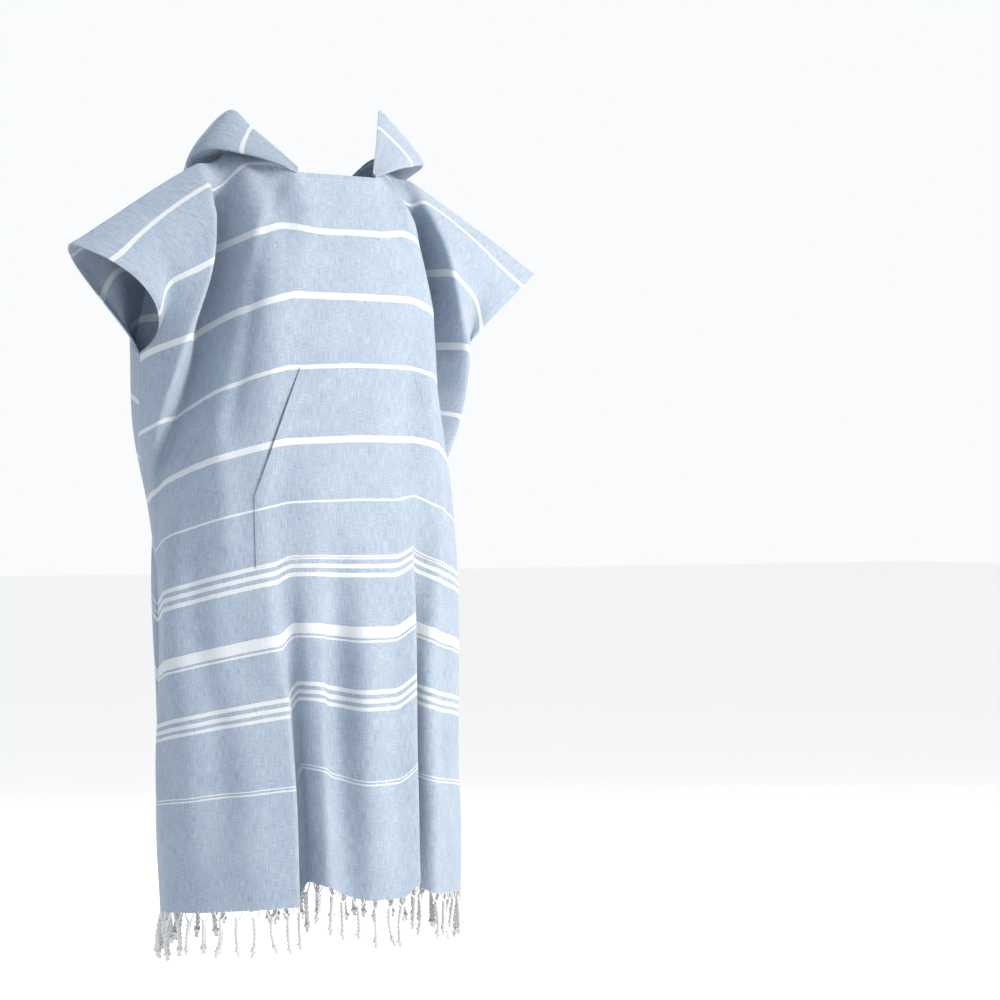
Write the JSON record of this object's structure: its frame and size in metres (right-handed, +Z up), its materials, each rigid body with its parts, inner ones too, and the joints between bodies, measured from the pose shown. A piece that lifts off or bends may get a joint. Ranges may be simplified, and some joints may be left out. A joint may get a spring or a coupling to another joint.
{
  "type": "hooded bath poncho",
  "caption": "Knee-length hooded bath poncho of flat-woven striped towelling, worn shape, hood down, short wide sleeves, front pocket and knotted fringe along the hem.",
  "frame": {"origin": "middle of the neck between the shoulders, 30 mm above the front neckline, where the wearer carries the poncho", "axes": "+Z up along the body, -Y the front, +X the wearer's left"},
  "size_m": [0.7662, 0.3215, 1.2012],
  "materials": {
    "woven_cloth": "flat-woven cotton, light blue mixed with white, white stripes across",
    "hood_cloth": "flat-woven cotton, light blue mixed with white, white stripes",
    "pocket_cloth": "flat-woven cotton, light blue mixed with white, stripes matched to the front",
    "fringe_yarn": "twisted white cotton yarn, knotted ends"
  },
  "bodies": {
    "root": {"front_panel": "woven_cloth", "back_panel": "woven_cloth", "hood_left": "hood_cloth", "hood_right": "hood_cloth", "front_pocket": "pocket_cloth", "front_fringe": "fringe_yarn", "back_fringe": "fringe_yarn"}
  },
  "joints": []
}
